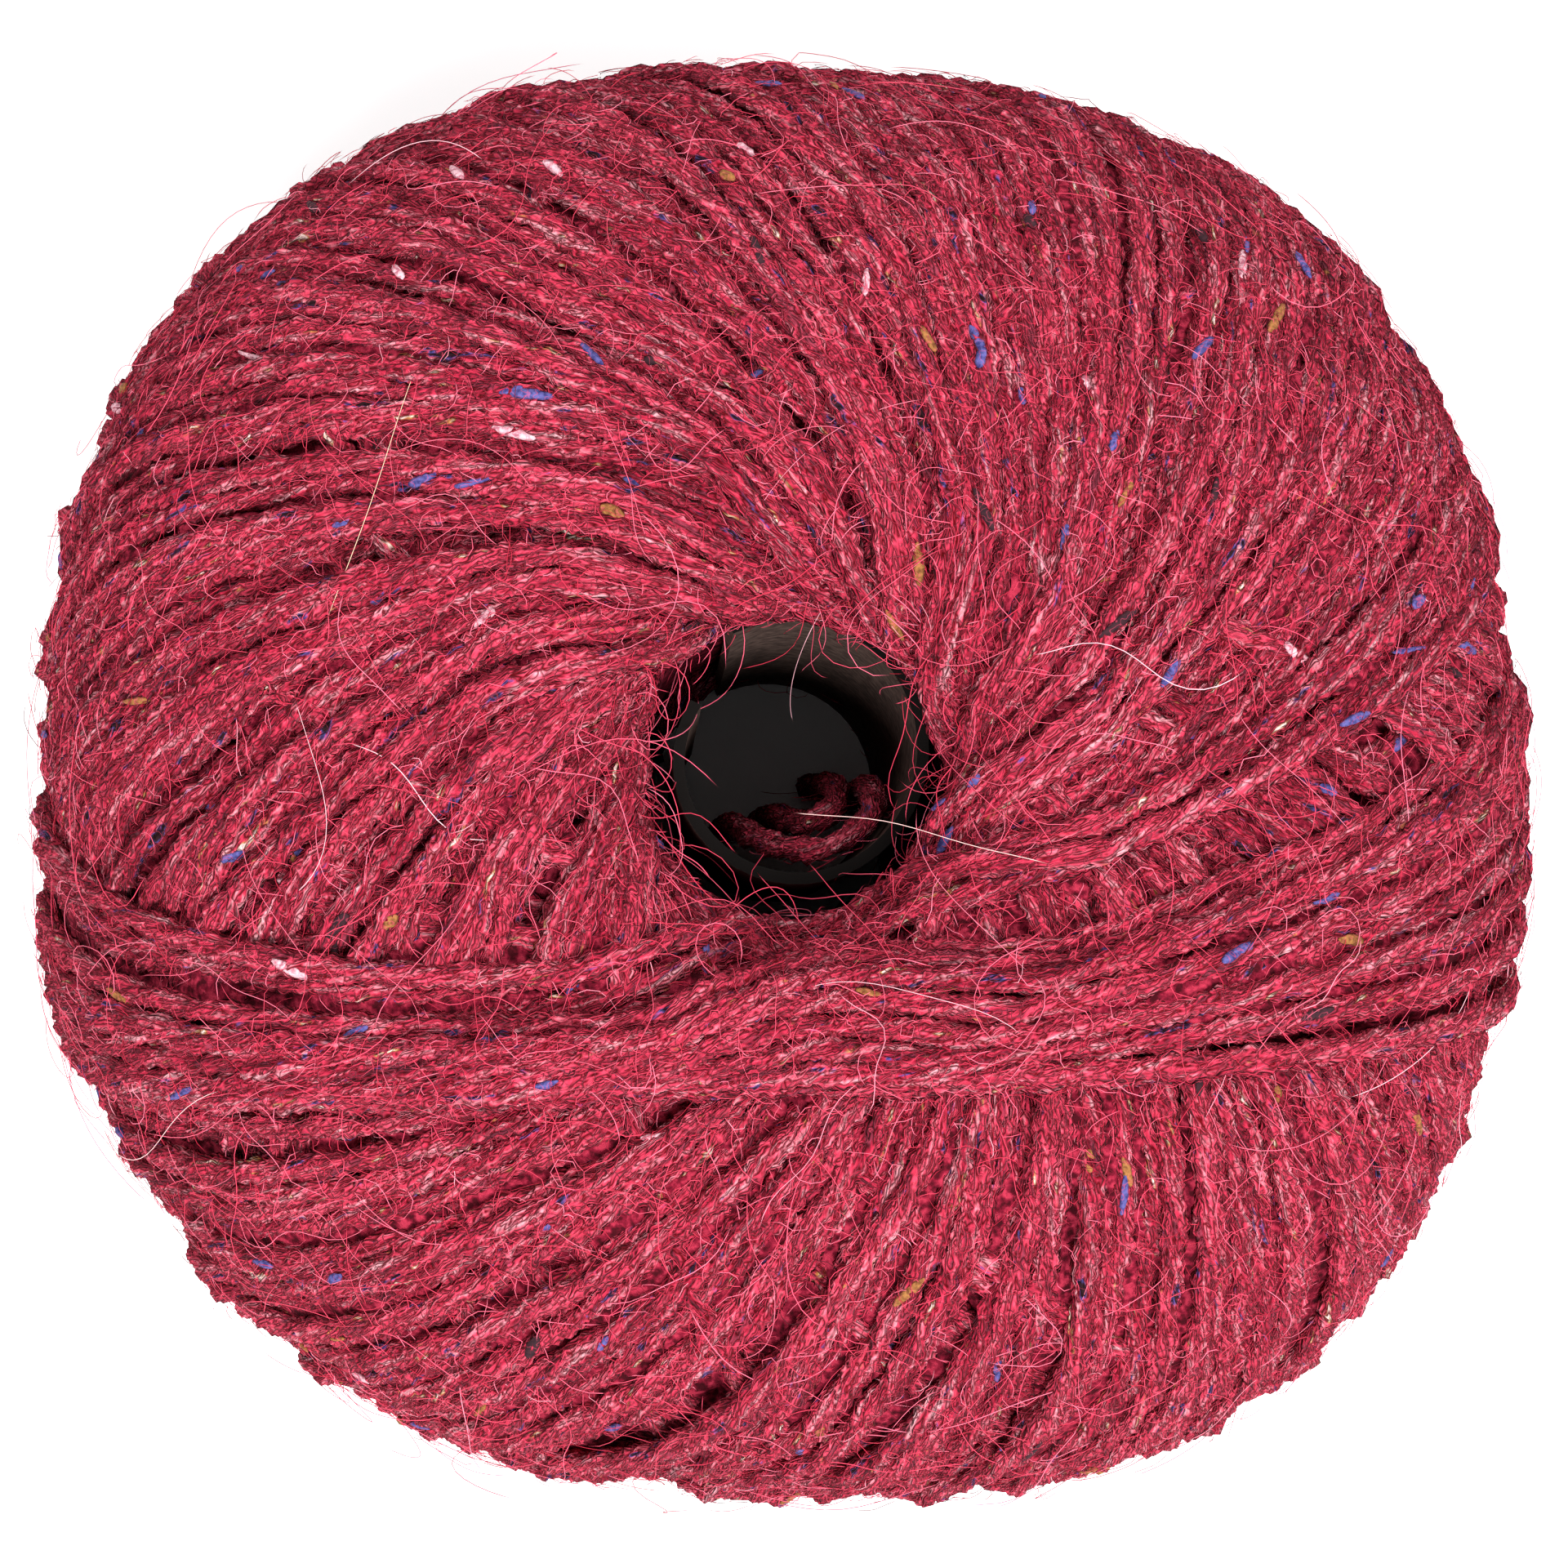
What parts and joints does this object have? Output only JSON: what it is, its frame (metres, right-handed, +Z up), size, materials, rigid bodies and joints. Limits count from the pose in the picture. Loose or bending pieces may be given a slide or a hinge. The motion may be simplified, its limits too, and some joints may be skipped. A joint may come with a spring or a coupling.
{
  "type": "ball of tweed yarn",
  "caption": "Machine-wound ball of fuzzy tweed yarn with an open middle, lying on its flat side, with a rolled strip of dark card in the hole.",
  "frame": {"origin": "centre of the bounding box, on the surface that the ball lies on", "axes": "+Z up along the hole; +Y towards the top of the picture; +X towards its right"},
  "size_m": [0.0958, 0.093, 0.0591],
  "materials": {
    "yarn": "brushed woollen tweed, raspberry red with blue, ochre, pale and black flecks",
    "card": "matt dark brown card"
  },
  "bodies": {
    "root": {"ball": "yarn", "card_strip": "card"}
  },
  "joints": []
}
